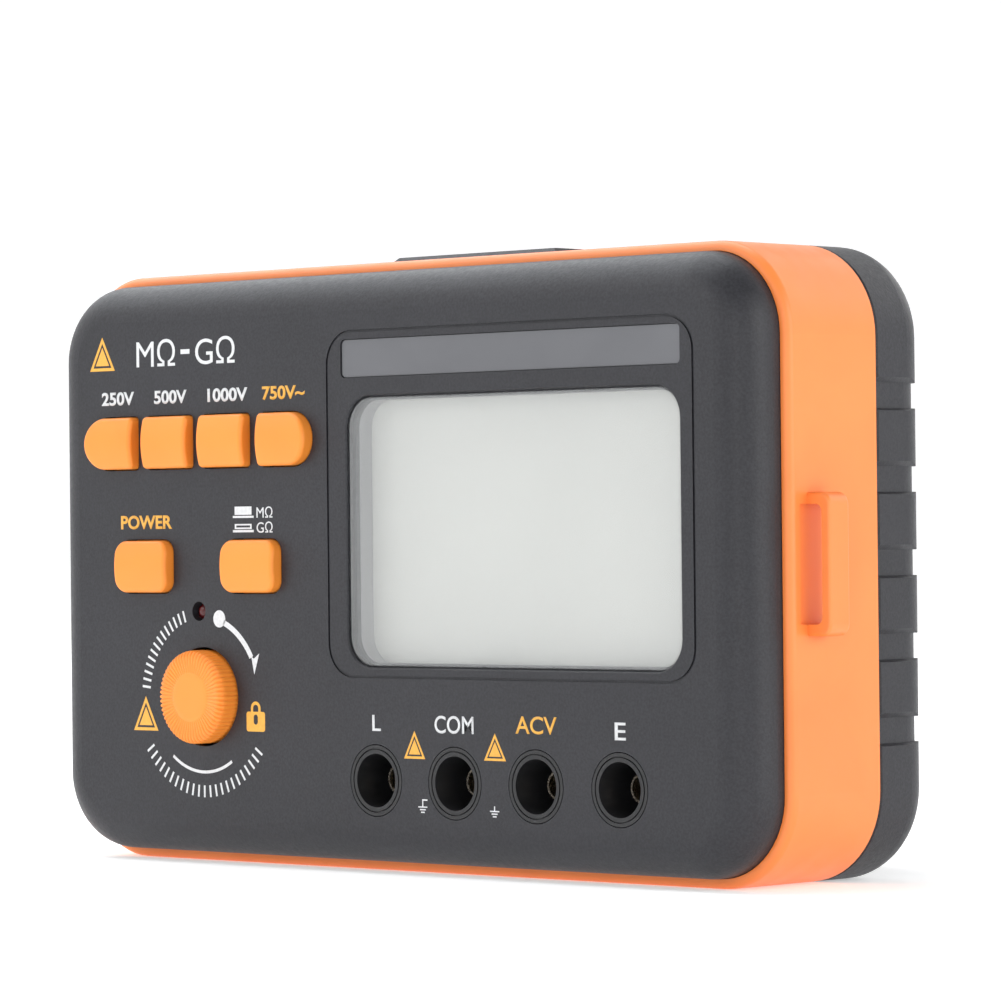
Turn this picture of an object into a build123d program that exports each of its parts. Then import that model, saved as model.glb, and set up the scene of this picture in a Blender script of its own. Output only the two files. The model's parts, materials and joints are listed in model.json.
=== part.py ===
"""Portable insulation resistance tester: case shells, display, keys, test knob, sockets and battery bay.

Millimetres, Z up. The panel faces -Y, X runs to the right of a person reading it, and the tester
stands on its long lower edge with the origin under its middle. Depths are counted from the face of
the panel towards the back.
"""

import os

from build123d import *

# ---- overall size -------------------------------------------------------------------------
DEPTH = 70.7            # knob face to rear feet
CASE_W = 160.6
CASE_H = 100.0
CASE_R = 14.8
KNOB_PROUD = 3.5
PANEL_Y = KNOB_PROUD - DEPTH / 2
MID_Z = CASE_H / 2
MIDDLE = (0, MID_Z)

# ---- depths of the shells -----------------------------------------------------------------
PANEL_T = 2.4
BAND_FRONT = 8.0
SKIRT_END = 13.0
BAND_LEDGE = 13.2
BAND_REAR = 29.4
REAR_FRONT = 29.5
REAR_FACE = 42.5
HUMP_FACE = 65.7
SHELL_T = 2.5
FIT = 0.1               # gap between shells that are screwed together

# ---- front cover --------------------------------------------------------------------------
COVER_W = 157.2
COVER_H = 96.6
COVER_R = 13.1
COVER_FILLET = 6.5
COVER_T = 2.0
BOSS_X, BOSS_Z = 66.0, 36.0          # screw places, from the middle
BOSS_R = 3.75
BOSS_END = 14.0
SCREW_R = 1.5
SCREW_HOLE_R = 1.7
COUNTERBORE_R = 3.2
COUNTERBORE_END = 36.0

# ---- display ------------------------------------------------------------------------------
WINDOW = (29.15, 55.7)
WINDOW_W, WINDOW_H, WINDOW_R = 72.5, 44.6, 5.4
WINDOW_BEVEL = 0.2
LENS_GAP = 0.3
LEDGE_FACE = 1.6        # the lens rests on a ledge of the panel
LEDGE = 0.7
VIEW_INSET = WINDOW_BEVEL + LEDGE
VIEW_W, VIEW_H, VIEW_R = WINDOW_W - 2 * VIEW_INSET, WINDOW_H - 2 * VIEW_INSET, WINDOW_R - VIEW_INSET
GROOVE = (28.4, 60.25)
GROOVE_W, GROOVE_H, GROOVE_R = 79.6, 56.7, 5.6
GROOVE_T = 0.42
GROOVE_DEEP = 0.28
STRIP = (28.7, 83.95)
STRIP_W, STRIP_H, STRIP_R = 73.4, 6.3, 0.9
LENS_FACE, LENS_BACK = 0.4, LEDGE_FACE - 0.05
LCD_FACE = 5.3
DISPLAY_BOARD = 10.4

# ---- keys ---------------------------------------------------------------------------------
KEY_H = 8.8
KEY_PROUD = 2.2
KEY_CROWN_R = 14.0
KEY_GAP = 0.22
KEY_ROW_Z = 71.15
KEY_XS = (-62.9, -49.0, -35.2, -20.7)
KEY_W = 11.0
END_KEY_W = 11.7
KEY_CORNER, LOWER_KEY_CORNER = 0.8, 2.3
LOWER_KEY_Z = 50.15
POWER_X, RANGE_X = -55.0, -28.9
LOWER_KEY_W = 12.8
STEM_R = 1.6
SWITCH_FACE = 9.5
BOARD = 19.4
BOARD_T = 1.6

# ---- test knob and lamp -------------------------------------------------------------------
KNOB = (-41.3, 28.25)
KNOB_R = 7.85
KNOB_HOLE_R = 8.35
KNOB_DISC_R = 3.9
KNOB_DISH = 0.2         # how far the disc lies below the rim
KNOB_ROLL = 1.2
KNOB_END = 6.0
SPINDLE_R = 3.0
LAMP = (-42.3, 42.6)
LAMP_R = 1.5

# ---- sockets ------------------------------------------------------------------------------
SOCKET_XS = (-0.75, 16.9, 34.55, 52.2)
SOCKET_NAMES = ("l", "com", "acv", "e")
SOCKET_Z = 15.3
SHROUD_R = 5.75
SHROUD_RING_R = 5.2
SHROUD_RING_T = 0.22
SHROUD_BORE_R = 4.35
SHROUD_END = 23.5
CONTACT_R = 2.35
CONTACT_BORE_R = 2.0
CONTACT_FACE = 5.2
CONTACT_BORE_END = 22.0
CONTACT_END = 28.5
SOCKET_BOARD = 25.0

# ---- battery bay --------------------------------------------------------------------------
CELL_R = 7.1
CELL_L = 49.1
NUB_R, NUB_L = 2.7, 1.2
CELL_PITCH = 14.5
CELL_COUNT = 6
CELL_DEPTH = 54.9
TRAY_INNER_W, TRAY_INNER_H = 87.6, 57.0
TRAY_T = 1.4
TRAY_FLOOR = 46.2
TRAY_END = 61.5
PLATE_T = 0.4
SPRING_L = 5.7
DOOR_FACE_DEPTH = 63.7
DOOR_W, DOOR_H, DOOR_R = 93.0, 71.0, 4.0
DOOR_SCREW_Z = 32.7
HUMP_W, HUMP_H, HUMP_R = 110.0, 88.0, 10.0
HUMP_TAPER = 7.0
FOOT_END = DEPTH - KNOB_PROUD
HEEL_X, HEEL_W, HEEL_H, HEEL_END = 40.0, 7.0, 10.5, 63.5
HEEL_BEVEL = 3.0

# ---- side details -------------------------------------------------------------------------
LUG_PROUD = 4.5
LUG_NEAR, LUG_FAR = 12.0, 16.8
LUG_H = 22.0
SLOT_H = 18.4
SLOT_GAP = 2.9
GRIP_PITCH = 13.05
GRIP_COUNT = 5
GRIP_H = 4.0
GRIP_DEEP = 0.8
REAR_FILLET = 5.5
TONGUE_W, TONGUE_NEAR, TONGUE_FAR, TONGUE_PROUD = 36.7, 23.4, 31.8, 1.75
TONGUE_BEVEL = 0.6


def station(depth):
    """Sketch plane that faces the user at a depth behind the panel: its x is X and its y is Z."""
    return Plane.XZ.offset(-(PANEL_Y + depth))


def slab(near, far, width, height, corner=0.0, centre=MIDDLE, mode=Mode.ADD, taper=0.0):
    """A rounded rectangle between two depths, added to or cut from the part in hand."""
    with BuildSketch(station(near)) as outline:
        with Locations(centre):
            if corner:
                RectangleRounded(width, height, corner)
            else:
                Rectangle(width, height)
    extrude(outline.sketch, amount=near - far, taper=taper, mode=mode)


def rod(near, far, radius, centres, mode=Mode.ADD):
    """Round bars or holes along the depth, between two depths."""
    with BuildSketch(station(near)) as outline:
        with Locations(*centres):
            Circle(radius)
    extrude(outline.sketch, amount=near - far, mode=mode)


def corners(half_x, half_z):
    """The four points that lie evenly about the middle of the case."""
    return [(sx * half_x, MID_Z + sz * half_z) for sx in (-1, 1) for sz in (-1, 1)]


def front_edges(part):
    """Edges of the face that is nearest to the user."""
    return part.faces().sort_by(Axis.Y)[0].edges()


def rear_edges(part):
    """Edges of the face that is farthest from the user."""
    return part.faces().sort_by(Axis.Y)[-1].edges()


def save(part, name):
    """Labels a finished piece and writes it to its own file."""
    part.label = name
    export_step(part, f"parts/{name}.step")


os.makedirs("parts", exist_ok=True)
SOCKETS = [(x, SOCKET_Z) for x in SOCKET_XS]
SCREWS = corners(BOSS_X, BOSS_Z)

# ---- front cover: panel with a rolled edge and a skirt inside the band --------------------
with BuildPart() as cover_room:
    slab(PANEL_T, SKIRT_END, COVER_W - 2 * COVER_T, COVER_H - 2 * COVER_T, COVER_R - COVER_T)
    fillet(front_edges(cover_room), COVER_FILLET - COVER_T)

with BuildPart() as front_cover:
    slab(0, SKIRT_END, COVER_W, COVER_H, COVER_R)
    fillet(front_edges(front_cover), COVER_FILLET)
    add(cover_room.part, mode=Mode.SUBTRACT)
    rod(PANEL_T - 0.4, BOSS_END, BOSS_R, SCREWS)
    # display opening with a bevelled rim, and the recess of the title strip above it
    slab(0, PANEL_T, VIEW_W, VIEW_H, VIEW_R, WINDOW, Mode.SUBTRACT)
    slab(0, LEDGE_FACE, WINDOW_W - 2 * WINDOW_BEVEL, WINDOW_H - 2 * WINDOW_BEVEL,
         WINDOW_R - WINDOW_BEVEL, WINDOW, Mode.SUBTRACT)
    slab(0, WINDOW_BEVEL, WINDOW_W, WINDOW_H, WINDOW_R, WINDOW, Mode.SUBTRACT, taper=45)
    slab(0, 0.5, STRIP_W, STRIP_H, STRIP_R, STRIP, Mode.SUBTRACT)
    # fine groove that frames the display and the strip
    with BuildSketch(station(0)) as groove:
        with Locations(GROOVE):
            RectangleRounded(GROOVE_W, GROOVE_H, GROOVE_R)
            RectangleRounded(GROOVE_W - 2 * GROOVE_T, GROOVE_H - 2 * GROOVE_T,
                             GROOVE_R - GROOVE_T, mode=Mode.SUBTRACT)
    extrude(groove.sketch, amount=-GROOVE_DEEP, mode=Mode.SUBTRACT)
    # holes for the keys
    for x in KEY_XS[1:3]:
        slab(0, PANEL_T, KEY_W + 2 * KEY_GAP, KEY_H + 2 * KEY_GAP, KEY_CORNER, (x, KEY_ROW_Z),
             Mode.SUBTRACT)
    for x, side in ((KEY_XS[0], -1), (KEY_XS[3], 1)):
        with BuildSketch(station(0)) as hole:
            with Locations((x, KEY_ROW_Z)):
                RectangleRounded(END_KEY_W + 2 * KEY_GAP, KEY_H + 2 * KEY_GAP, KEY_CORNER)
            with Locations((x + side * END_KEY_W / 2, KEY_ROW_Z)):
                Rectangle(KEY_H, KEY_H + 4 * KEY_GAP, mode=Mode.SUBTRACT)
            with Locations((x + side * (END_KEY_W - KEY_H) / 2, KEY_ROW_Z)):
                Circle(KEY_H / 2 + KEY_GAP)
        extrude(hole.sketch, amount=-PANEL_T, mode=Mode.SUBTRACT)
    for x in (POWER_X, RANGE_X):
        slab(0, PANEL_T, LOWER_KEY_W + 2 * KEY_GAP, KEY_H + 2 * KEY_GAP, LOWER_KEY_CORNER,
             (x, LOWER_KEY_Z), Mode.SUBTRACT)
    # holes for the knob, the lamp, the sockets and the screws
    rod(0, PANEL_T, KNOB_HOLE_R, [KNOB], Mode.SUBTRACT)
    rod(0, PANEL_T, LAMP_R + 0.12, [LAMP], Mode.SUBTRACT)
    rod(0, PANEL_T, SHROUD_R + 0.15, SOCKETS, Mode.SUBTRACT)
    rod(5.0, BOSS_END, SCREW_R + 0.04, SCREWS, Mode.SUBTRACT)
save(front_cover.part, "front_cover")

# ---- title strip and display --------------------------------------------------------------
with BuildPart() as label_strip:
    slab(0.25, 0.48, STRIP_W - 0.24, STRIP_H - 0.24, STRIP_R - 0.1, STRIP)
save(label_strip.part, "label_strip")

with BuildPart() as display_window:
    lens_inset = WINDOW_BEVEL + LENS_GAP
    slab(LENS_FACE, LENS_BACK, WINDOW_W - 2 * lens_inset, WINDOW_H - 2 * lens_inset,
         WINDOW_R - lens_inset, WINDOW)
    chamfer(front_edges(display_window), 0.15)
save(display_window.part, "display_window")

with BuildPart() as lcd_frame:
    slab(PANEL_T + 0.05, LCD_FACE + 2.6, WINDOW_W + 4.0, WINDOW_H + 3.4, 2.0, WINDOW)
    slab(PANEL_T, LCD_FACE, VIEW_W, VIEW_H, VIEW_R, WINDOW, Mode.SUBTRACT)
    slab(LCD_FACE, LCD_FACE + 3, WINDOW_W + 0.6, WINDOW_H + 0.6, 0.8, WINDOW, Mode.SUBTRACT)
save(lcd_frame.part, "lcd_frame")

with BuildPart() as lcd_panel:
    slab(LCD_FACE + 0.05, LCD_FACE + 2.5, WINDOW_W + 0.4, WINDOW_H + 0.4, 0.6, WINDOW)
save(lcd_panel.part, "lcd_panel")

with BuildPart() as zebra_strips:
    for dz in (-18.5, 18.5):
        slab(LCD_FACE + 2.55, DISPLAY_BOARD - 0.05, 66.0, 2.4, 0, (WINDOW[0], WINDOW[1] + dz))
save(zebra_strips.part, "zebra_strips")

with BuildPart() as display_board:
    slab(DISPLAY_BOARD, DISPLAY_BOARD + BOARD_T, 76.0, 49.0, 1.0, WINDOW)
save(display_board.part, "display_board")

with BuildPart() as pin_header:
    slab(DISPLAY_BOARD + BOARD_T + 0.05, BOARD - 0.05, 40.0, 2.5, 0, (WINDOW[0], WINDOW[1] + 20))
save(pin_header.part, "pin_header")

# ---- main board and what it carries -------------------------------------------------------
BOARD_BACK = BOARD + BOARD_T
with BuildPart() as main_board:
    slab(BOARD, BOARD_BACK, 148.0, 59.0, 1.5, (0, 51.0))
save(main_board.part, "main_board")

with BuildPart() as board_spacers:
    rod(PANEL_T + 0.2, BOARD - 0.05, 1.8, [(-71.0, 42.0), (-71.0, 61.0), (71.0, 42.0), (71.0, 72.0)])
save(board_spacers.part, "board_spacers")

with BuildPart() as transformer:
    slab(BOARD_BACK + 0.05, 36.0, 22.0, 16.0, 1.0, (-48.0, 66.0))
    slab(25.0, 32.0, 27.0, 21.0, 1.0, (-48.0, 66.0))
save(transformer.part, "transformer")

with BuildPart() as capacitors:
    rod(BOARD_BACK + 0.05, 37.0, 5.0, [(-25.0, 70.0), (-25.0, 57.0), (-12.0, 70.0)])
    fillet(capacitors.faces().sort_by(Axis.Y)[-3:].edges(), 0.8)
save(capacitors.part, "capacitors")

with BuildPart() as buzzer:
    rod(BOARD_BACK + 0.05, 29.0, 6.0, [(-62.0, 36.0)])
    rod(27.5, 29.0, 1.0, [(-62.0, 36.0)], Mode.SUBTRACT)
save(buzzer.part, "buzzer")

with BuildPart() as measuring_chip:
    slab(BOARD_BACK + 0.1, 23.0, 14.0, 14.0, 0.4, (20.0, 52.0))
save(measuring_chip.part, "measuring_chip")


def switch_body(centre_xs, z, width):
    """A row of latching push switches in one moulding, with a bore for each stem."""
    middle = sum(centre_xs) / len(centre_xs)
    span = max(centre_xs) - min(centre_xs) + width
    with BuildPart() as body:
        slab(SWITCH_FACE, BOARD - 0.05, span, 9.0, 0.6, (middle, z))
        rod(SWITCH_FACE, BOARD - 1.5, STEM_R + 0.2, [(x, z) for x in centre_xs], Mode.SUBTRACT)
    return body.part


save(switch_body(KEY_XS, KEY_ROW_Z, 10.0), "voltage_switch_bank")
save(switch_body([POWER_X], LOWER_KEY_Z, 9.0), "power_switch")
save(switch_body([RANGE_X], LOWER_KEY_Z, 9.0), "range_switch")


# ---- keys: crowned caps with a flange behind the panel and a round stem -------------------
def key(x, z, width, corner, round_side=0):
    """One key cap. round_side is -1 or 1 where that end is a half circle."""
    with BuildPart() as cap:
        with BuildSketch(station(-KEY_PROUD)) as outline:
            with Locations((x, z)):
                RectangleRounded(width, KEY_H, corner)
            if round_side:
                with Locations((x + round_side * width / 2, z)):
                    Rectangle(KEY_H, KEY_H + 1, mode=Mode.SUBTRACT)
                with Locations((x + round_side * (width - KEY_H) / 2, z)):
                    Circle(KEY_H / 2)
        extrude(outline.sketch, amount=-(KEY_PROUD + PANEL_T + 0.6))
        crown = Location((x, PANEL_Y - KEY_PROUD + KEY_CROWN_R, z), (0, 90, 0))
        with Locations(crown):
            Cylinder(KEY_CROWN_R, 40, mode=Mode.INTERSECT)
        fillet(front_edges(cap), 0.75)
        flange_x = x - round_side * 0.3
        slab(PANEL_T + 0.3, PANEL_T + 1.3, width + 0.5 - abs(round_side) * 0.6, KEY_H + 1.4, 0.8,
             (flange_x, z))
        rod(PANEL_T + 1.3, SWITCH_FACE + 3.0, STEM_R, [(x, z)])
    return cap.part


for number, (x, width, round_side) in enumerate(
        zip(KEY_XS, (END_KEY_W, KEY_W, KEY_W, END_KEY_W), (-1, 0, 0, 1)), 1):
    save(key(x, KEY_ROW_Z, width, KEY_CORNER, round_side), f"voltage_key_{number}")
save(key(POWER_X, LOWER_KEY_Z, LOWER_KEY_W, LOWER_KEY_CORNER), "power_key")
save(key(RANGE_X, LOWER_KEY_Z, LOWER_KEY_W, LOWER_KEY_CORNER), "range_key")

# ---- test knob on its spindle -------------------------------------------------------------
with BuildPart() as test_knob:
    knob_axis = Plane(origin=(KNOB[0], PANEL_Y, KNOB[1]), x_dir=(1, 0, 0), z_dir=(0, 0, 1))
    with BuildSketch(knob_axis) as profile:
        with BuildLine():
            disc_face, rim_face = KNOB_DISH - KNOB_PROUD, -KNOB_PROUD
            roll_end = rim_face + KNOB_ROLL
            Polyline((0, disc_face), (KNOB_DISC_R, disc_face), (KNOB_R - KNOB_ROLL, rim_face))
            SagittaArc((KNOB_R - KNOB_ROLL, rim_face), (KNOB_R, roll_end), -0.35)
            Polyline((KNOB_R, roll_end), (KNOB_R, PANEL_T - 0.2), (SPINDLE_R + 1.6, PANEL_T - 0.2),
                     (SPINDLE_R + 1.6, KNOB_END), (0, KNOB_END), (0, disc_face))
        make_face()
    revolve(profile.sketch, axis=Axis((KNOB[0], PANEL_Y, KNOB[1]), (0, 1, 0)))
    rod(-1.0, KNOB_END, SPINDLE_R + 0.05, [KNOB], Mode.SUBTRACT)
save(test_knob.part, "test_knob")

with BuildPart() as knob_spindle:
    rod(-0.9, SWITCH_FACE - 1.0, SPINDLE_R, [KNOB])
    rod(SWITCH_FACE - 1.0, SWITCH_FACE + 4.0, STEM_R, [KNOB])
    fillet(front_edges(knob_spindle), 0.3)
save(knob_spindle.part, "knob_spindle")

with BuildPart() as test_switch:
    slab(SWITCH_FACE + 1.5, BOARD - 0.05, 14.0, 13.0, 0.8, (KNOB[0], KNOB[1] + 0.2))
    rod(SWITCH_FACE + 1.5, BOARD - 2.0, STEM_R + 0.2, [KNOB], Mode.SUBTRACT)
save(test_switch.part, "test_switch")

with BuildPart() as lamp:
    rod(0.5, 4.6, LAMP_R, [LAMP])
    fillet(front_edges(lamp), LAMP_R - 0.05)
    rod(3.4, 4.6, LAMP_R + 0.4, [LAMP])
    for dx in (-0.8, 0.8):
        slab(4.6, BOARD - 0.05, 0.5, 0.5, 0, (LAMP[0] + dx, LAMP[1]))
save(lamp.part, "test_lamp")

# ---- sockets: an insulating shroud round each four millimetre contact ---------------------
for name, x in zip(SOCKET_NAMES, SOCKET_XS):
    place = [(x, SOCKET_Z)]
    with BuildPart() as shroud:
        rod(0.0, SHROUD_END, SHROUD_R, place)
        rod(PANEL_T + 0.05, PANEL_T + 1.3, SHROUD_R + 1.2, place)
        rod(0.0, SHROUD_END - 2.0, SHROUD_BORE_R, place, Mode.SUBTRACT)
        rod(0.0, SHROUD_END, CONTACT_R + 0.03, place, Mode.SUBTRACT)
        with BuildSketch(station(0)) as ring:
            with Locations(*place):
                Circle(SHROUD_RING_R)
                Circle(SHROUD_RING_R - SHROUD_RING_T, mode=Mode.SUBTRACT)
        extrude(ring.sketch, amount=-0.4, mode=Mode.SUBTRACT)
    save(shroud.part, f"socket_shroud_{name}")
    with BuildPart() as contact:
        rod(CONTACT_FACE, SHROUD_END + 1.0, CONTACT_R, place)
        rod(SHROUD_END + 0.05, SOCKET_BOARD - 0.05, CONTACT_R + 0.9, place)
        rod(SOCKET_BOARD - 0.05, CONTACT_END, 1.2, place)
        rod(CONTACT_FACE, CONTACT_BORE_END, CONTACT_BORE_R, place, Mode.SUBTRACT)
    save(contact.part, f"socket_contact_{name}")

with BuildPart() as socket_board:
    slab(SOCKET_BOARD, SOCKET_BOARD + BOARD_T, 66.0, 13.0, 1.0, (26.0, SOCKET_Z - 0.3))
    rod(SOCKET_BOARD, SOCKET_BOARD + BOARD_T, 1.3, SOCKETS, Mode.SUBTRACT)
save(socket_board.part, "socket_board")

# ---- middle band with a strap lug on each side --------------------------------------------
with BuildPart() as middle_band:
    slab(BAND_FRONT, BAND_REAR, CASE_W, CASE_H, CASE_R)
    fillet(front_edges(middle_band), 1.45)
    chamfer(rear_edges(middle_band), 0.25)
    for side in (-1, 1):
        lug_x = side * (CASE_W / 2 + LUG_PROUD / 2 - 1.0)
        with BuildSketch(station(LUG_NEAR)) as lug:
            with Locations((lug_x, MID_Z)):
                RectangleRounded(LUG_PROUD + 2.0, LUG_H, 1.9)
        extrude(lug.sketch, amount=LUG_NEAR - LUG_FAR)
        outer_face = middle_band.faces().sort_by(Axis.X)[-1 if side > 0 else 0]
        fillet(outer_face.edges().filter_by(Axis.Z), 0.5)
    slab(BAND_FRONT, BAND_LEDGE, COVER_W + 2 * FIT, COVER_H + 2 * FIT, COVER_R + FIT, mode=Mode.SUBTRACT)
    slab(BAND_LEDGE, BAND_REAR, CASE_W - 6.6, CASE_H - 6.6, CASE_R - 3.3, mode=Mode.SUBTRACT)
    for side in (-1, 1):
        slot_x = side * (CASE_W / 2 + SLOT_GAP / 2)
        with BuildSketch(station(LUG_NEAR - 1.6)) as slot:
            with Locations((slot_x, MID_Z)):
                RectangleRounded(SLOT_GAP, SLOT_H, 1.2)
            with Locations((side * (CASE_W / 2 + 0.4), MID_Z)):
                Rectangle(2.0, SLOT_H)
        extrude(slot.sketch, amount=-(LUG_FAR - LUG_NEAR + 3.0), mode=Mode.SUBTRACT)
save(middle_band.part, "middle_band")

# ---- rear cover: grips, tongue, screw posts and the hump of the battery bay ---------------
with BuildPart() as hump_room:
    slab(REAR_FACE - SHELL_T - 1, 61.7, HUMP_W - 5.0, HUMP_H - 5.0, HUMP_R - 2.5, taper=HUMP_TAPER)

# grip recesses on both sides, which follow the rolled rear edge
with BuildPart() as grip_floor:
    slab(REAR_FRONT - 1.0, REAR_FACE, CASE_W - 2 * GRIP_DEEP, CASE_H, CASE_R)
    fillet(rear_edges(grip_floor), REAR_FILLET)

with BuildPart() as grips:
    for row in range(GRIP_COUNT):
        z = MID_Z + (row - (GRIP_COUNT - 1) / 2) * GRIP_PITCH
        for side in (-1, 1):
            edge = side * CASE_W / 2
            floor_x = edge - side * GRIP_DEEP
            inner_x = edge - side * REAR_FILLET
            low, high = z - GRIP_H / 2, z + GRIP_H / 2
            with BuildSketch(station(REAR_FRONT - 0.5)) as recess:
                with BuildLine():
                    Polyline((inner_x, low), (floor_x, low), (edge, low - 0.4), (edge + side, low - 0.4),
                             (edge + side, high + 0.8), (edge, high + 0.8), (floor_x, high),
                             (inner_x, high), close=True)
                make_face()
            extrude(recess.sketch, amount=REAR_FRONT - REAR_FACE - 1.0)
    add(grip_floor.part, mode=Mode.SUBTRACT)

with BuildPart() as rear_cover:
    slab(REAR_FRONT, REAR_FACE, CASE_W, CASE_H, CASE_R)
    fillet(rear_edges(rear_cover), REAR_FILLET)
    slab(REAR_FACE - 1.0, HUMP_FACE, HUMP_W, HUMP_H, HUMP_R, taper=HUMP_TAPER)
    fillet(rear_edges(rear_cover), 2.0)
    slab(REAR_FRONT, REAR_FACE - SHELL_T, CASE_W - 6.0, CASE_H - 6.0, CASE_R - 3.0, mode=Mode.SUBTRACT)
    add(hump_room.part, mode=Mode.SUBTRACT)
    # lip that fits inside the band, on a step of the wall
    slab(REAR_FRONT, REAR_FRONT + 2.0, CASE_W - 5.0, CASE_H - 5.0, CASE_R - 2.5)
    slab(BAND_REAR - 4.4, REAR_FRONT + 1.0, CASE_W - 7.0, CASE_H - 7.0, CASE_R - 3.5)
    slab(BAND_REAR - 4.4, REAR_FRONT + 2.0, CASE_W - 10.6, CASE_H - 10.6, CASE_R - 5.3,
         mode=Mode.SUBTRACT)
    chamfer(rear_cover.faces().filter_by(Axis.Y).filter_by_position(
        Axis.Y, PANEL_Y + REAR_FRONT - 0.01, PANEL_Y + REAR_FRONT + 0.01).sort_by(SortBy.AREA)[-1]
        .outer_wire().edges(), 0.25)
    # posts that take the case screws
    rod(BOSS_END + 0.2, REAR_FACE - 2.0, 4.0, SCREWS)
    rod(COUNTERBORE_END - 2.4, REAR_FACE - 2.0, 4.9, SCREWS)
    rod(BOSS_END, REAR_FACE, SCREW_HOLE_R, SCREWS, Mode.SUBTRACT)
    rod(COUNTERBORE_END, REAR_FACE + 1, COUNTERBORE_R, SCREWS, Mode.SUBTRACT)
    # seat of the battery door, its opening and the posts of its screws
    slab(DOOR_FACE_DEPTH, HUMP_FACE, DOOR_W, DOOR_H, DOOR_R, mode=Mode.SUBTRACT)
    slab(60.0, DOOR_FACE_DEPTH, TRAY_INNER_W + 0.4, TRAY_INNER_H + 1.0, 1.5, mode=Mode.SUBTRACT)
    rod(57.0, 62.0, 2.6, [(0, MID_Z - DOOR_SCREW_Z), (0, MID_Z + DOOR_SCREW_Z)])
    rod(57.0, DOOR_FACE_DEPTH, 1.35, [(0, MID_Z - DOOR_SCREW_Z), (0, MID_Z + DOOR_SCREW_Z)],
        Mode.SUBTRACT)
    # heels under the hump, so that the tester stands on its long lower edge
    heel_start, heel_end = PANEL_Y + REAR_FACE - SHELL_T + 0.2, PANEL_Y + HEEL_END
    for x in (-HEEL_X, HEEL_X):
        with BuildSketch(Plane.YZ.offset(x)) as heel:
            with BuildLine():
                Polyline((heel_start, 0), (heel_end - HEEL_BEVEL, 0), (heel_end, HEEL_BEVEL),
                         (heel_end, HEEL_H), (heel_start, HEEL_H), close=True)
            make_face()
        extrude(heel.sketch, amount=HEEL_W / 2, both=True)
    # seats of the rear feet
    with BuildSketch(station(HUMP_FACE - 0.5)) as foot_seats:
        with Locations(*corners(33.0, 37.9)):
            SlotOverall(16.3, 3.5)
    extrude(foot_seats.sketch, amount=-2.0, mode=Mode.SUBTRACT)
    # tongue that laps over the top of the band
    slab(TONGUE_NEAR, TONGUE_FAR, TONGUE_W, TONGUE_PROUD - 0.05, 0,
         (0, CASE_H + 0.05 + (TONGUE_PROUD - 0.05) / 2))
    slab(REAR_FRONT, TONGUE_FAR, TONGUE_W, 2.0, 0, (0, CASE_H - 0.5))
    tongue_top = rear_cover.faces().filter_by(Axis.Z).sort_by(Axis.Z)[-1]
    chamfer(tongue_top.edges(), TONGUE_BEVEL)
    add(grips.part, mode=Mode.SUBTRACT)
save(rear_cover.part, "rear_cover")

# ---- fasteners and feet -------------------------------------------------------------------
with BuildPart() as case_screws:
    rod(8.0, COUNTERBORE_END, SCREW_R, SCREWS)
    rod(COUNTERBORE_END + 0.02, COUNTERBORE_END + 2.2, 2.8, SCREWS)
    rod(COUNTERBORE_END - 0.5, COUNTERBORE_END + 0.5, SCREW_R, SCREWS)
    for length, width in ((3.2, 0.6), (0.6, 3.2)):
        for place in SCREWS:
            slab(COUNTERBORE_END + 1.2, COUNTERBORE_END + 2.2, length, width, 0, place, Mode.SUBTRACT)
save(case_screws.part, "case_screws")

with BuildPart() as rear_feet:
    with BuildSketch(station(HUMP_FACE - 0.48)) as pads:
        with Locations(*corners(33.0, 37.9)):
            SlotOverall(16.0, 3.2)
    extrude(pads.sketch, amount=-(FOOT_END - HUMP_FACE + 0.48))
    fillet(rear_feet.faces().sort_by(Axis.Y)[-4:].edges(), 0.5)
save(rear_feet.part, "rear_feet")

# ---- battery door and its captive screws --------------------------------------------------
DOOR_SCREWS = [(0, MID_Z - DOOR_SCREW_Z), (0, MID_Z + DOOR_SCREW_Z)]
with BuildPart() as battery_door:
    slab(DOOR_FACE_DEPTH + 0.05, HUMP_FACE, DOOR_W - 0.5, DOOR_H - 0.5, DOOR_R - 0.25)
    chamfer(rear_edges(battery_door), 0.3)
    rod(DOOR_FACE_DEPTH, HUMP_FACE, 1.3, DOOR_SCREWS, Mode.SUBTRACT)
    rod(HUMP_FACE - 1.3, HUMP_FACE, 2.4, DOOR_SCREWS, Mode.SUBTRACT)
    # grip ribs
    for rib in range(5):
        slab(HUMP_FACE - 0.5, HUMP_FACE, 26.0, 1.1, 0.5, (0, MID_Z + 17.0 + 2.2 * rib), Mode.SUBTRACT)
save(battery_door.part, "battery_door")

with BuildPart() as door_screws:
    rod(58.5, HUMP_FACE - 1.28, 1.22, DOOR_SCREWS)
    rod(HUMP_FACE - 1.28, HUMP_FACE - 0.15, 2.2, DOOR_SCREWS)
    for length, width in ((2.6, 0.5), (0.5, 2.6)):
        for place in DOOR_SCREWS:
            slab(HUMP_FACE - 0.75, HUMP_FACE - 0.15, length, width, 0, place, Mode.SUBTRACT)
save(door_screws.part, "door_screws")

# ---- battery tray, cells, springs and plates ----------------------------------------------
with BuildPart() as battery_tray:
    slab(TRAY_FLOOR, TRAY_END, TRAY_INNER_W + 2 * TRAY_T, TRAY_INNER_H + 2 * TRAY_T, 1.5)
    slab(TRAY_FLOOR + TRAY_T, TRAY_END, TRAY_INNER_W, TRAY_INNER_H, 0.6, mode=Mode.SUBTRACT)
    for rib in range(1, CELL_COUNT):
        rib_x = (rib - CELL_COUNT / 2) * CELL_PITCH
        slab(TRAY_FLOOR + TRAY_T, TRAY_FLOOR + TRAY_T + 2.6, 0.9, 46.0, 0, (rib_x, MID_Z))
save(battery_tray.part, "battery_tray")

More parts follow.
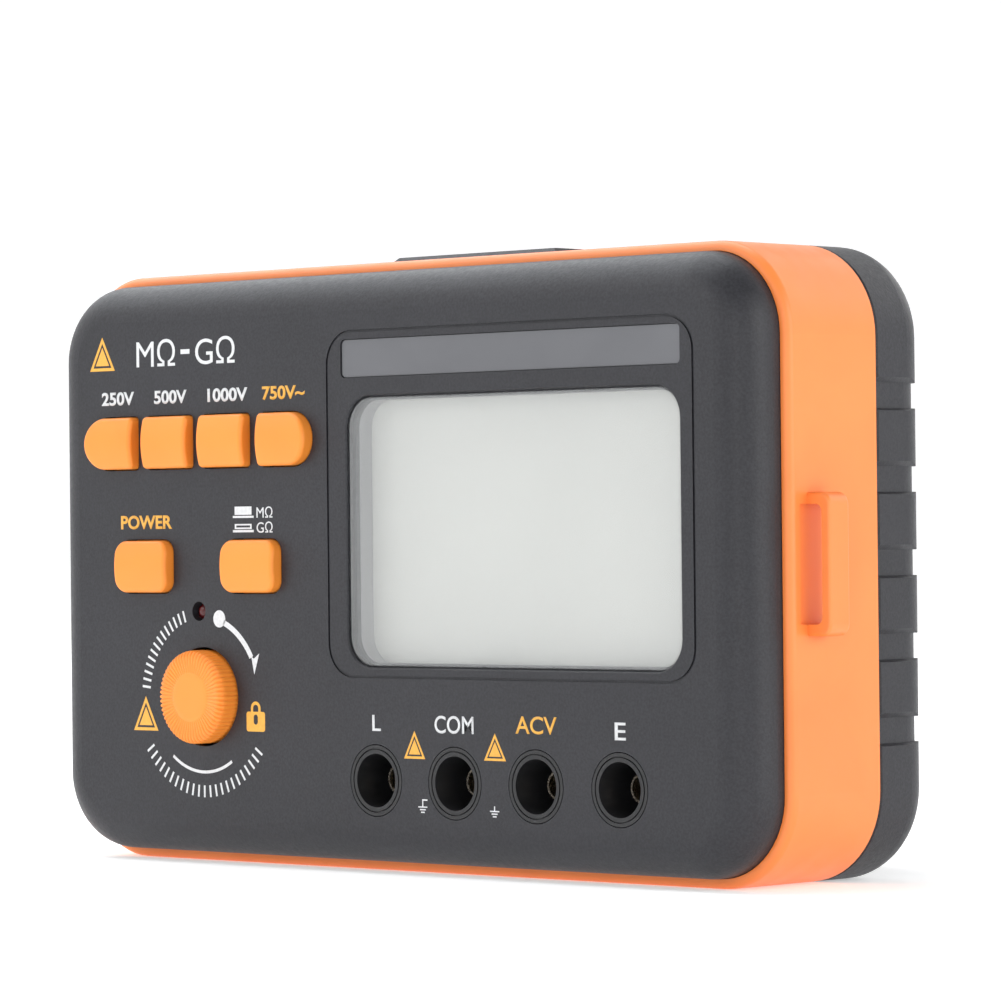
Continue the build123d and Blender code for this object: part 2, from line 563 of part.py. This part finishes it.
CELL_XS = [(n - (CELL_COUNT - 1) / 2) * CELL_PITCH for n in range(CELL_COUNT)]
BAY_END = TRAY_INNER_H / 2
for number, x in enumerate(CELL_XS, 1):
    up = 1 if number % 2 else -1
    with BuildPart() as cell:
        base = Plane(origin=(x, PANEL_Y + CELL_DEPTH, MID_Z - up * (BAY_END - PLATE_T - SPRING_L - 0.1)),
                     x_dir=(1, 0, 0), z_dir=(0, 0, up))
        with BuildSketch(base) as can:
            Circle(CELL_R)
        extrude(can.sketch, amount=CELL_L)
        fillet(cell.edges().filter_by(GeomType.CIRCLE), 0.6)
        with BuildSketch(base.offset(CELL_L)) as nub:
            Circle(NUB_R)
        extrude(nub.sketch, amount=NUB_L)
    save(cell.part, f"aa_cell_{number}")

with BuildPart() as one_spring:
    with BuildLine() as coil:
        Helix(pitch=1.55, height=SPRING_L - 1.1, radius=3.2)
    with BuildSketch(Plane(origin=coil.line @ 0, z_dir=coil.line % 0)) as wire:
        Circle(0.32)
    sweep(wire.sketch, path=coil.line)

with BuildPart() as battery_springs:
    for number, x in enumerate(CELL_XS, 1):
        up = 1 if number % 2 else -1
        seat = Plane(origin=(x, PANEL_Y + CELL_DEPTH, MID_Z - up * (BAY_END - PLATE_T - 0.5)),
                     x_dir=(1, 0, 0), z_dir=(0, 0, up))
        with Locations(seat.location):
            add(one_spring.part)
save(battery_springs.part, "battery_springs")

with BuildPart() as battery_plates:
    for end, groups in ((-1, ((0, 1), (2, 3), (4, 5))), (1, ((0,), (1, 2), (3, 4), (5,)))):
        for group in groups:
            middle_x = sum(CELL_XS[n] for n in group) / len(group)
            plate_w = 10.0 + (len(group) - 1) * CELL_PITCH
            z = MID_Z + end * (BAY_END - PLATE_T / 2 - 0.02)
            slab(CELL_DEPTH - 5.0, CELL_DEPTH + 5.0, plate_w, PLATE_T, 0, (middle_x, z))
save(battery_plates.part, "battery_plates")
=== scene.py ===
"""Looks of a portable insulation resistance tester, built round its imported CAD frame.

Metres, Z up. The panel faces -Y. MM turns the millimetres that a person would measure into metres.
"""

import json
import math

import bmesh
import bpy
from mathutils import Matrix, Vector


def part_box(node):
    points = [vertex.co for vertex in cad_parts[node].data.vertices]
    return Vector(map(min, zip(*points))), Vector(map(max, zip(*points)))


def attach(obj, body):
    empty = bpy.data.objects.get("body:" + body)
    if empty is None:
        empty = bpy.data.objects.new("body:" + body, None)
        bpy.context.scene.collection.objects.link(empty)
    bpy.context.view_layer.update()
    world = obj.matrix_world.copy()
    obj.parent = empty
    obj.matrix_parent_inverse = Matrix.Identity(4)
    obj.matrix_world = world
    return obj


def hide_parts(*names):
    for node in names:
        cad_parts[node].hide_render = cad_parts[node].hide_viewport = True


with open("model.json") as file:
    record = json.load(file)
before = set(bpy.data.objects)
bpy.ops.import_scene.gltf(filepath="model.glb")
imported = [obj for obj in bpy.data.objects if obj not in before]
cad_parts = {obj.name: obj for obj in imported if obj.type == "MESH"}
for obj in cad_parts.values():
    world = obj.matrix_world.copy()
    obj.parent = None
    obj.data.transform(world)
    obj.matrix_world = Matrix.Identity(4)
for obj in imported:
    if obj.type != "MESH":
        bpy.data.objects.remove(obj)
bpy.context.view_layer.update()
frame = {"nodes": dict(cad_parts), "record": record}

MM = 0.001
NODES = frame["nodes"]
CASE = "case"


# ---- places, from the frame ---------------------------------------------------------------
PANEL_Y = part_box("front_cover")[0].y
PANEL_T = 2.4 * MM          # thickness of the panel; the knob's side ends inside its hole
KNOB_LOW, KNOB_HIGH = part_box("test_knob")
KNOB_C = (KNOB_LOW + KNOB_HIGH) / 2
KNOB_R = (KNOB_HIGH.x - KNOB_LOW.x) / 2


# ---- materials ----------------------------------------------------------------------------
GRAIN_MM = 0.42             # size of the grain of the dark case, which shows through the ink


class Shade:
    """A node material under construction: a Principled shader and short ways to feed it."""

    def __init__(self, name, color, roughness, **sockets):
        self.material = bpy.data.materials.new(name)
        self.material.use_nodes = True
        self.nodes = self.material.node_tree.nodes
        self.links = self.material.node_tree.links
        self.shader = self.nodes["Principled BSDF"]
        self.shader.inputs["Base Color"].default_value = (*color, 1)
        self.shader.inputs["Roughness"].default_value = roughness
        for socket, value in sockets.items():
            self.shader.inputs[socket.replace("_", " ")].default_value = value
        self.coords = self.nodes.new("ShaderNodeTexCoord")
        self.height = None

    def noise(self, size_mm, detail=2.0, stretch=(1, 1, 1), distortion=0.0):
        """Noise whose features are about size_mm across."""
        mapping = self.nodes.new("ShaderNodeMapping")
        mapping.inputs["Scale"].default_value = stretch
        self.links.new(self.coords.outputs["Object"], mapping.inputs["Vector"])
        noise = self.nodes.new("ShaderNodeTexNoise")
        noise.inputs["Scale"].default_value = 1 / (size_mm * MM)
        noise.inputs["Detail"].default_value = detail
        noise.inputs["Distortion"].default_value = distortion
        self.links.new(mapping.outputs["Vector"], noise.inputs["Vector"])
        return noise.outputs["Fac"]

    def ramp(self, value, low, high, start=0.3, end=0.7):
        """Colour or grey levels spread over a value."""
        ramp = self.nodes.new("ShaderNodeValToRGB")
        for element, place, level in zip(ramp.color_ramp.elements, (start, end), (low, high)):
            element.position = place
            element.color = (*level, 1) if isinstance(level, tuple) else (level, level, level, 1)
        self.links.new(value, ramp.inputs["Fac"])
        return ramp.outputs["Color"]

    def mix(self, factor, first, second):
        """Colour mix of two colour outputs by a factor output."""
        mix = self.nodes.new("ShaderNodeMix")
        mix.data_type = "RGBA"
        self.links.new(factor, mix.inputs[0])
        self.links.new(first, mix.inputs[6])
        self.links.new(second, mix.inputs[7])
        return mix.outputs[2]

    def color(self, output):
        """Feeds the base colour."""
        self.links.new(output, self.shader.inputs["Base Color"])

    def rough(self, output):
        """Feeds the roughness."""
        self.links.new(output, self.shader.inputs["Roughness"])

    def bump(self, output, depth_mm, strength):
        """Adds a bump layer on top of those already there."""
        bump = self.nodes.new("ShaderNodeBump")
        bump.inputs["Distance"].default_value = depth_mm * MM
        bump.inputs["Strength"].default_value = strength
        self.links.new(output, bump.inputs["Height"])
        if self.height is not None:
            self.links.new(self.height, bump.inputs["Normal"])
        self.height = bump.outputs["Normal"]
        self.links.new(self.height, self.shader.inputs["Normal"])


def dark_case():
    """Charcoal ABS with a fine spark-eroded grain."""
    s = Shade("dark_case", (0.028, 0.028, 0.031), 0.45, Specular_IOR_Level=0.4)
    grain = s.noise(GRAIN_MM, 3.0)
    broad = s.noise(30.0, 2.0)
    peaks = s.ramp(grain, 0.25, 0.75, 0.35, 0.65)
    pits = s.ramp(broad, (0.011, 0.011, 0.0135), (0.0135, 0.0135, 0.0165))
    tops = s.ramp(broad, (0.0285, 0.0285, 0.034), (0.033, 0.033, 0.0395))
    s.color(s.mix(peaks, pits, tops))
    s.rough(s.ramp(s.noise(0.9, 3.0), 0.4, 0.5))
    s.bump(grain, 0.05, 0.7)
    s.bump(s.noise(0.16, 2.0), 0.012, 0.5)
    return s.material


def satin(name, dark, light, roughness, grain_mm=0.5, depth_mm=0.006, **sockets):
    """A smooth satin moulding with slight flow marks and a very fine skin."""
    s = Shade(name, light, roughness, **sockets)
    flow = s.noise(22.0, 3.0, distortion=0.6)
    s.color(s.ramp(flow, dark, light, 0.25, 0.75))
    s.rough(s.ramp(s.noise(4.0, 4.0), roughness - 0.04, roughness + 0.05))
    s.bump(s.noise(grain_mm, 3.0), depth_mm, 0.5)
    return s.material


def metal(name, dark, light, roughness, stretch):
    """Bare or plated metal with fine machining marks and slight tarnish."""
    s = Shade(name, light, roughness, Metallic=1.0)
    s.color(s.ramp(s.noise(1.5, 4.0), dark, light))
    marks = s.noise(0.3, 3.0, stretch=stretch)
    s.rough(s.ramp(marks, roughness - 0.07, roughness + 0.1))
    s.bump(marks, 0.008, 0.5)
    return s.material


def clear_lens():
    """Clear acrylic: almost all light goes through, with a polished skin."""
    s = Shade("clear_lens", (0.93, 0.95, 0.95), 0.06, Alpha=0.13, IOR=1.49)
    s.rough(s.ramp(s.noise(14.0, 3.0), 0.04, 0.09))
    s.bump(s.noise(9.0, 2.0), 0.004, 0.3)
    return s.material


def lcd_glass():
    """Unlit reflective liquid-crystal panel: warm light grey with a faint polariser weave."""
    s = Shade("lcd", (0.7, 0.7, 0.65), 0.32, Specular_IOR_Level=0.3)
    s.color(s.ramp(s.noise(26.0, 2.0), (0.515, 0.52, 0.492), (0.54, 0.545, 0.515)))
    s.rough(s.ramp(s.noise(0.25, 1.0, stretch=(1, 1, 5)), 0.28, 0.36))
    s.bump(s.noise(0.3, 2.0), 0.001, 0.15)
    return s.material


def circuit_board():
    """Green solder mask over copper tracks."""
    s = Shade("board", (0.01, 0.12, 0.05), 0.35, Coat_Weight=0.3)
    tracks = s.nodes.new("ShaderNodeTexBrick")
    tracks.inputs["Scale"].default_value = 160.0
    tracks.inputs["Color1"].default_value = (0.012, 0.13, 0.05, 1)
    tracks.inputs["Color2"].default_value = (0.01, 0.11, 0.045, 1)
    tracks.inputs["Mortar"].default_value = (0.03, 0.2, 0.08, 1)
    tracks.inputs["Mortar Size"].default_value = 0.03
    s.links.new(s.coords.outputs["Object"], tracks.inputs["Vector"])
    s.color(tracks.outputs["Color"])
    s.rough(s.ramp(s.noise(2.0), 0.3, 0.42))
    s.bump(s.noise(0.6, 3.0), 0.01, 0.4)
    return s.material


def ink(name, color):
    """Pad-printed ink that lets the grain of the panel show a little."""
    dark = tuple(0.9 * c for c in color)
    s = Shade(name, color, 0.45)
    s.color(s.ramp(s.noise(0.5, 3.0), dark, color, 0.35, 0.6))
    s.rough(s.ramp(s.noise(0.8, 3.0), 0.4, 0.52))
    s.bump(s.noise(GRAIN_MM, 3.0), 0.02, 0.4)
    return s.material


ORANGE_CASE = satin("orange_case", (0.86, 0.222, 0.045), (0.93, 0.255, 0.056), 0.37, 0.6, 0.008,
                    Specular_IOR_Level=0.55)
ORANGE_KEY = satin("orange_key", (0.93, 0.28, 0.033), (1.0, 0.315, 0.042), 0.4, 0.35, 0.006,
                   Specular_IOR_Level=0.45)
MATERIALS = {
    "dark_case": dark_case(),
    "orange_case": ORANGE_CASE,
    "orange_key": ORANGE_KEY,
    "grey_strip": satin("grey_strip", (0.115, 0.117, 0.127), (0.135, 0.137, 0.148), 0.34, 0.9, 0.004),
    "clear_lens": clear_lens(),
    "light_grey": satin("light_grey", (0.24, 0.24, 0.245), (0.28, 0.28, 0.285), 0.4),
    "lcd": lcd_glass(),
    "black_plastic": satin("black_plastic", (0.010, 0.010, 0.011), (0.015, 0.015, 0.017), 0.45, 0.4, 0.01),
    "board": circuit_board(),
    "can": satin("can", (0.02, 0.03, 0.09), (0.03, 0.04, 0.12), 0.3, 2.0, 0.01),
    "brass": metal("brass", (0.6, 0.5, 0.38), (0.82, 0.74, 0.62), 0.24, (1, 8, 1)),
    "steel": metal("steel", (0.45, 0.45, 0.44), (0.62, 0.62, 0.6), 0.3, (6, 1, 1)),
    "cell": satin("cell", (0.03, 0.033, 0.036), (0.045, 0.05, 0.055), 0.28, 1.2, 0.01, Coat_Weight=0.3),
    "red_lens": satin("red_lens", (0.05, 0.002, 0.003), (0.085, 0.004, 0.005), 0.12, 1.0, 0.004),
    "rubber": satin("rubber", (0.016, 0.016, 0.016), (0.024, 0.024, 0.024), 0.75, 0.5, 0.03),
}
INKS = {                    # each ink with a slot name of the record beside it
    "white": (ink("ink_white", (0.74, 0.75, 0.76)), "light_grey"),
    "amber": (ink("ink_amber", (0.87, 0.44, 0.06)), "orange_key"),
}

SLOT_OF = {entry["node"]: entry["material_slot"] for entry in frame["record"]["subparts"]}
for name, node in NODES.items():
    node.data.materials.clear()
    node.data.materials.append(MATERIALS[SLOT_OF[name]])


# ---- mesh helpers -------------------------------------------------------------------------
INK_LIFT = 0.02 * MM        # height of the print above the panel
INK_SHARE = 0.9             # part of that height which the ink fills


def piece(name, mesh, material, body):
    """Links a mesh as a piece that rides on a body."""
    mesh.materials.clear()
    mesh.materials.append(material)
    obj = bpy.data.objects.new(name, mesh)
    bpy.context.scene.collection.objects.link(obj)
    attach(obj, body)
    return obj


def disc_and_rings(bm, centre, rows):
    """Faces from a middle point out over rows of points that go round it."""
    count = len(rows[0])
    for n in range(count):
        bm.faces.new((centre, rows[0][n], rows[0][(n + 1) % count]))
    for inner, outer in zip(rows, rows[1:]):
        for n in range(count):
            m = (n + 1) % count
            bm.faces.new((inner[n], outer[n], outer[m], inner[m]))


def smooth_mesh(name, bm):
    """Turns a bmesh into a mesh with smooth shading."""
    mesh = bpy.data.meshes.new(name)
    bm.to_mesh(mesh)
    bm.free()
    for polygon in mesh.polygons:
        polygon.use_smooth = True
    return mesh


def thicken(bm, faces):
    """Gives flat faces that lie INK_LIFT over a surface the thickness of the print."""
    walls = bmesh.ops.extrude_face_region(bm, geom=faces)
    back = [v for v in walls["geom"] if isinstance(v, bmesh.types.BMVert)]
    bmesh.ops.translate(bm, verts=back, vec=(0, INK_LIFT * INK_SHARE, 0))


def fill_outlines(bm, loops):
    """Fills flat outlines, given as lists of (x, z), and gives them the thickness of the print."""
    edges = []
    for loop in loops:
        verts = [bm.verts.new((x, PANEL_Y - INK_LIFT, z)) for x, z in loop]
        edges += [bm.edges.new((a, b)) for a, b in zip(verts, verts[1:] + verts[:1])]
    filled = bmesh.ops.triangle_fill(bm, use_beauty=True, use_dissolve=False, edges=edges)
    faces = [f for f in filled["geom"] if isinstance(f, bmesh.types.BMFace)]
    for face in faces:
        if face.normal.y > 0:
            face.normal_flip()
    thicken(bm, faces)


def finish_print(bm, mesh, ink_name):
    """Closes a legend's mesh and links it as a piece of the case."""
    bmesh.ops.recalc_face_normals(bm, faces=bm.faces)
    bm.to_mesh(mesh)
    bm.free()
    material, slot = INKS[ink_name]
    piece(mesh.name, mesh, material, CASE)


def printed(name, outlines, ink_name):
    """One printed legend made of separate shapes, each a list of closed outlines in millimetres."""
    bm = bmesh.new()
    for loops in outlines:
        fill_outlines(bm, [[(x * MM, z * MM) for x, z in loop] for loop in loops])
    finish_print(bm, bpy.data.meshes.new(name), ink_name)


def lettering(name, text, x_span, z_span, ink_name, weight=0.03):
    """A generic unit, number or terminal letter, fitted to a box on the panel in millimetres.

    The weight is how far the outlines of the font are pushed outwards, as a share of its size.
    """
    curve = bpy.data.curves.new(name, "FONT")
    curve.body = text
    curve.offset = weight
    curve.resolution_u = 6
    holder = bpy.data.objects.new(name + "_outline", curve)
    bpy.context.scene.collection.objects.link(holder)
    bpy.context.view_layer.update()
    mesh = bpy.data.meshes.new_from_object(holder)
    bpy.data.objects.remove(holder)
    xs = [v.co.x for v in mesh.vertices]
    ys = [v.co.y for v in mesh.vertices]
    scale_x = (x_span[1] - x_span[0]) * MM / (max(xs) - min(xs))
    scale_z = (z_span[1] - z_span[0]) * MM / (max(ys) - min(ys))
    for v in mesh.vertices:
        x = x_span[0] * MM + (v.co.x - min(xs)) * scale_x
        z = z_span[0] * MM + (v.co.y - min(ys)) * scale_z
        v.co = (x, PANEL_Y - INK_LIFT, z)
    mesh.name = name
    bm = bmesh.new()
    bm.from_mesh(mesh)
    thicken(bm, bm.faces[:])
    finish_print(bm, mesh, ink_name)


def arc(cx, cz, radius, start, end, steps=24):
    """Points on an arc, angles in degrees counted from +X towards +Z."""
    turns = [math.radians(start + (end - start) * n / steps) for n in range(steps + 1)]
    return [(cx + radius * math.cos(t), cz + radius * math.sin(t)) for t in turns]


def bar(x0, x1, z0, z1):
    """Outline of an upright rectangle."""
    return [(x0, z0), (x1, z0), (x1, z1), (x0, z1)]


# ---- legends ------------------------------------------------------------------------------
def key_legends():
    """Test voltages over the keys, and the names of the lower keys."""
    voltages = (("250V", (-66.1, -57.9), "white"), ("500V", (-52.9, -44.8), "white"),
                ("1000V", (-39.7, -30.0), "white"), ("750V~", (-26.5, -16.4), "amber"))
    for text, x_span, ink_name in voltages:
        lettering("legend_" + text.replace("~", "_ac"), text, x_span, (77.7, 80.0), ink_name)
    lettering("legend_power", "POWER", (-61.5, -48.7), (56.5, 58.85), "amber")
    lettering("legend_megohm", "MΩ", (-28.1, -24.3), (58.2, 60.05), "white", weight=0.0)
    lettering("legend_gigohm", "GΩ", (-28.1, -24.3), (55.7, 57.55), "white", weight=0.0)


def key_pictograms():
    """The range key shown standing out beside one unit, and pushed in beside the other."""
    printed("legend_key_out", [[bar(-33.8, -28.8, 58.2, 58.55)], [bar(-33.35, -29.3, 58.72, 60.1)]], "white")
    pushed_in = [bar(-33.35, -29.3, 56.35, 57.2), bar(-33.0, -29.65, 56.6, 56.95)]
    printed("legend_key_in", [[bar(-33.8, -28.8, 55.8, 56.2)], pushed_in], "white")


def range_legend():
    """The pair of units that the tester measures in, at the top left of the panel."""
    z_span = (84.1, 88.7)
    lettering("legend_range_megohm", "MΩ", (-57.2, -47.6), z_span, "white", weight=0.0)
    lettering("legend_range_gigohm", "GΩ", (-42.6, -33.0), z_span, "white", weight=0.0)
    printed("legend_range_dash", [[bar(-46.2, -44.0, 86.0, 86.8)]], "white")


def socket_legends():
    """Terminal letters over the sockets."""
    for text, x_span, z_span, ink_name in (("L", (-1.5, 0.45), (23.35, 25.95), "white"),
                                           ("COM", (12.55, 21.2), (23.25, 26.1), "white"),
                                           ("ACV", (30.3, 39.1), (23.55, 26.35), "amber"),
                                           ("E", (51.3, 53.6), (23.0, 25.75), "white")):
        lettering("legend_" + text.lower(), text, x_span, z_span, ink_name, weight=0.01)


def earth_symbols():
    """Plain earth symbols between the sockets: three bars that widen upwards, and a stem.

    The stem of the first one ends in a short arm.
    """
    thick, pitch = 0.2, 0.42
    stem_half, arm_thick, arm_reach = 0.11, 0.22, 1.05
    for number, (x, z, stem) in enumerate(((9.75, 10.4, 1.15), (25.6, 10.2, 0.7)), 1):
        bars = [[bar(x - half, x + half, z + row * pitch, z + row * pitch + thick)]
                for row, half in enumerate((0.4, 0.65, 1.0))]
        stem_low = z + 2 * pitch + thick
        top = stem_low + stem
        bars.append([bar(x - stem_half, x + stem_half, stem_low, top)])
        if number == 1:
            bars.append([bar(x + stem_half, x + arm_reach, top - arm_thick, top)])
        printed(f"legend_earth_{number}", bars, "white")


def triangle(x0, x1, z0, z1, inset):
    """An upright triangle that fills a box, shrunk towards its middle by inset."""
    cx, cz = (x0 + x1) / 2, z0 + (z1 - z0) / 3
    keep = 1 - inset
    points = [(x0, z0), (x1, z0), (cx, z1)]
    return [(cx + (x - cx) * keep, cz + (z - cz) * keep) for x, z in points]


def marker_legends():
    """Plain amber triangles with no sign in them, where the panel has its markers."""
    boxes = ((-69.0, -62.7, 83.7, 89.5), (-58.7, -52.6, 22.3, 28.1),
             (5.65, 10.4, 19.05, 23.55), (23.4, 28.2, 19.15, 23.5))
    for number, box in enumerate(boxes, 1):
        outer, inner, core = (triangle(*box, inset) for inset in (0.0, 0.27, 0.46))
        printed(f"legend_marker_{number}", [[outer, inner], [core]], "amber")


def graduations(name, inner, outer, start, end, count):
    """Radial marks round the knob, from one radius to another."""
    cx, cz = KNOB_C.x / MM, KNOB_C.z / MM
    half_width = 0.2
    marks = []
    for n in range(count):
        t = math.radians(start + (end - start) * n / (count - 1))
        along = Vector((math.cos(t), math.sin(t)))
        across = Vector((-along.y, along.x)) * half_width
        near, far = along * inner, along * outer
        corners = (near - across, far - across, far + across, near + across)
        marks.append([[(cx + p.x, cz + p.y) for p in corners]])
    printed(name, marks, "white")


def knob_legends():
    """Graduations round the knob and the arrow that shows which way it turns."""
    cx, cz = KNOB_C.x / MM, KNOB_C.z / MM
    graduations("legend_scale_upper", 13.2, 15.2, 109, 174, 14)
    graduations("legend_scale_lower", 14.9, 16.9, 214, 326, 23)
    line = arc(cx, cz, 12.9, 233, 302) + arc(cx, cz, 12.4, 302, 233)
    ball = arc(cx + 3.96, cz + 13.1, 1.45, 0, 345, 23)
    band = arc(cx, cz, 13.9, 68, 30) + arc(cx, cz, 12.95, 30, 68)
    head = [(cx + 13.5, cz + 7.4), (cx + 12.3, cz + 3.9), (cx + 11.6, cz + 6.9), (cx + 12.2, cz + 6.5)]
    for name, outline in (("legend_scale_line", line), ("legend_arrow_ball", ball),
                          ("legend_arrow_arc", band), ("legend_arrow_head", head)):
        printed(name, [[outline]], "white")


def padlock():
    """Plain padlock that marks the knob's locked place: a body with a keyhole, and its shackle."""
    x, low, top, half, round_r = -28.75, 22.65, 25.95, 2.2, 0.45
    shackle_z, shackle_outer, shackle_inner = 26.5, 1.15, 0.62
    key_low, key_high, key_r = 24.3, 25.0, 0.5
    body = []
    for side, corner_z, start in ((1, top - round_r, 0), (-1, top - round_r, 90),
                                  (-1, low + round_r, 180), (1, low + round_r, 270)):
        body += arc(x + side * (half - round_r), corner_z, round_r, start, start + 90, 6)
    keyhole = arc(x, key_high, key_r, 0, 180, 12) + arc(x, key_low, key_r, 180, 360, 12)
    outer = arc(x, shackle_z, shackle_outer, 180, 0) + [(x + shackle_outer, top), (x + shackle_inner, top)]
    inner = arc(x, shackle_z, shackle_inner, 0, 180) + [(x - shackle_inner, top), (x - shackle_outer, top)]
    printed("legend_padlock", [[body, keyhole], [outer + inner]], "amber")


# ---- test knob ----------------------------------------------------------------------------
KNOB_RIBS = 60
RIB_POINTS = 8              # points round each rib
RIB_DEPTH = 0.28 * MM
RIB_SHARPNESS = 1.3         # a higher value narrows the hollows between the ribs
DISC_R = 3.9 * MM           # smooth disc in the middle of the knob's face
DISC_DISH = 0.2 * MM        # depth of the disc below the highest point of the rim
GROOVE_W = 0.3 * MM         # groove round the disc, where the ribs begin
GROOVE_DEEP = 0.06 * MM
ROLL = 1.2 * MM             # radius of the knob's rounded edge
SLEEVE_R = 4.6 * MM         # sleeve behind the knob, round its spindle
SLEEVE_BORE = 3.05 * MM     # radius of the sleeve's bore
SKIRT = 0.9 * MM            # how far the ribs stop short of the panel's inner face
FADE = 0.2 * MM             # length over which they end
BACK_GAP = 0.2 * MM         # how far the knob's side stops short of the panel's inner face
PROFILE_STEPS = 6           # rings over the face, and over the rounded edge


def knob_rings():
    """Profile of the knob from the middle of its disc to its foot: radius, depth and rib height."""
    rim = KNOB_LOW.y - PANEL_Y
    disc_y = rim + DISC_DISH
    foot = KNOB_HIGH.y - PANEL_Y
    face_r = DISC_R + GROOVE_W
    edge_r = KNOB_R - ROLL
    rings = [(0.35 * DISC_R, disc_y, 0), (0.8 * DISC_R, disc_y, 0), (DISC_R, disc_y, 0),
             (DISC_R + GROOVE_W / 2, disc_y + 0.04 * MM, 0), (face_r, disc_y + GROOVE_DEEP, 0.4 * RIB_DEPTH)]
    for n in range(1, PROFILE_STEPS + 1):
        share = n / PROFILE_STEPS
        depth = disc_y + GROOVE_DEEP - share * DISC_DISH
        rings.append((face_r + share * (edge_r - face_r), depth, (0.4 + 0.6 * share) * RIB_DEPTH))
    for n in range(1, PROFILE_STEPS + 1):
        t = math.radians(90 * n / PROFILE_STEPS)
        rings.append((edge_r + ROLL * math.sin(t), rim + GROOVE_DEEP + ROLL * (1 - math.cos(t)), RIB_DEPTH))
    ribs_end = PANEL_T - SKIRT
    back = PANEL_T - BACK_GAP
    rings += [(KNOB_R, ribs_end, RIB_DEPTH), (KNOB_R, ribs_end + FADE, 0), (KNOB_R, back, 0)]
    rings += [(SLEEVE_R, back, 0), (SLEEVE_R, foot, 0), (SLEEVE_BORE, foot, 0)]
    return rings


def fluted_knob():
    """The knob with ribs that run out over its shoulder and down its side."""
    rings = knob_rings()
    count = KNOB_RIBS * RIB_POINTS
    bm = bmesh.new()
    centre = bm.verts.new((KNOB_C.x, PANEL_Y + rings[0][1], KNOB_C.z))
    rows = []
    for radius, depth, rib in rings:
        row = []
        for n in range(count):
            t = 2 * math.pi * n / count
            hollow = rib * (1 - abs(math.cos(KNOB_RIBS * t / 2))) ** RIB_SHARPNESS
            r = radius - (hollow if radius > KNOB_R - ROLL else 0)
            y = PANEL_Y + depth + (hollow if radius < KNOB_R - 0.1 * MM else 0)
            row.append(bm.verts.new((KNOB_C.x + r * math.cos(t), y, KNOB_C.z + r * math.sin(t))))
        rows.append(row)
    disc_and_rings(bm, centre, rows)
    bm.faces.new(list(reversed(rows[-1])))
    bmesh.ops.recalc_face_normals(bm, faces=bm.faces)
    mesh = smooth_mesh("fluted_knob", bm)
    knob = piece("fluted_knob", mesh, ORANGE_KEY, "test_knob")
    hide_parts("test_knob")


# ---- stage: pale sweep, soft lights and the camera ----------------------------------------
def sweep():
    """Round pale sweep: a flat floor that curves up into a wall far from the tester."""
    floor_r, curve_r, wall = 2.4, 1.0, 2.2
    profile = [(0.6, 0.0), (1.4, 0.0), (floor_r, 0.0)]
    profile += [(floor_r + curve_r * math.sin(t), curve_r * (1 - math.cos(t)))
                for t in (math.radians(7.5 * n) for n in range(1, 13))]
    profile.append((floor_r + curve_r, wall))
    segments = 96
    turns = [2 * math.pi * n / segments for n in range(segments)]
    bm = bmesh.new()
    rows = [[bm.verts.new((r * math.cos(t), r * math.sin(t), z)) for t in turns] for r, z in profile]
    disc_and_rings(bm, bm.verts.new((0, 0, 0)), rows)
    mesh = smooth_mesh("sweep", bm)
    s = Shade("sweep", (0.86, 0.86, 0.86), 0.9, Specular_IOR_Level=0.0)
    s.color(s.ramp(s.noise(300.0), 0.84, 0.87))
    s.shader.inputs["Emission Color"].default_value = (1, 1, 1, 1)
    s.shader.inputs["Emission Strength"].default_value = 0.42
    mesh.materials.append(s.material)
    obj = bpy.data.objects.new("sweep", mesh)
    bpy.context.scene.collection.objects.link(obj)


def softbox(name, place, size, watts, color=(1, 1, 1)):
    """A rectangular area light aimed at the tester."""
    light = bpy.data.lights.new(name, "AREA")
    light.shape = "RECTANGLE"
    light.size, light.size_y = size
    light.energy = watts
    light.color = color
    obj = bpy.data.objects.new(name, light)
    bpy.context.scene.collection.objects.link(obj)
    obj.location = place
    aim = Vector((0, 0, 0.05)) - Vector(place)
    obj.rotation_euler = aim.to_track_quat("-Z", "Y").to_euler()


def lights():
    """A white room and five softboxes: over the tester, in front, at its right, and behind."""
    world = bpy.data.worlds.new("studio")
    world.use_nodes = True
    background = world.node_tree.nodes["Background"]
    background.inputs["Color"].default_value = (1, 1, 1, 1)
    background.inputs["Strength"].default_value = 0.25
    bpy.context.scene.world = world
    softbox("top_box", (-0.75, 0.05, 1.3), (1.8, 1.6), 24, (0.94, 0.97, 1.0))
    softbox("front_box", (-0.9, -1.3, 0.9), (1.0, 1.0), 3.5)
    softbox("side_box", (1.5, 0.15, 0.45), (1.0, 1.3), 8.7)
    softbox("edge_strip", (1.15, -1.9, 0.35), (0.16, 1.5), 4.5)
    softbox("back_box", (0.2, 1.5, 0.9), (1.4, 1.0), 6)


def camera():
    """The view is from the right of the panel and level, with a long lens."""
    yaw, pitch, roll = (math.radians(a) for a in (43.21, -0.395, -0.591))
    back = Vector((math.sin(yaw) * math.cos(pitch), -math.cos(yaw) * math.cos(pitch), math.sin(pitch)))
    right = Vector((math.cos(yaw), math.sin(yaw), 0))
    up = back.cross(right)
    rolled_right = right * math.cos(roll) + up * math.sin(roll)
    rolled_up = up * math.cos(roll) - right * math.sin(roll)
    lens = bpy.data.cameras.new("camera")
    lens.lens = 170.94
    lens.sensor_width = 36
    lens.clip_start = 0.01
    obj = bpy.data.objects.new("camera", lens)
    bpy.context.scene.collection.objects.link(obj)
    turn = Matrix((rolled_right, rolled_up, back)).transposed().to_4x4()
    place = Vector((0.54235, PANEL_Y - 0.548, 0.0552))
    obj.matrix_world = Matrix.Translation(place) @ turn
    bpy.context.scene.camera = obj


key_legends()
key_pictograms()
range_legend()
socket_legends()
earth_symbols()
marker_legends()
knob_legends()
padlock()
fluted_knob()
sweep()
lights()
camera()
bpy.context.scene.view_settings.view_transform = "Standard"
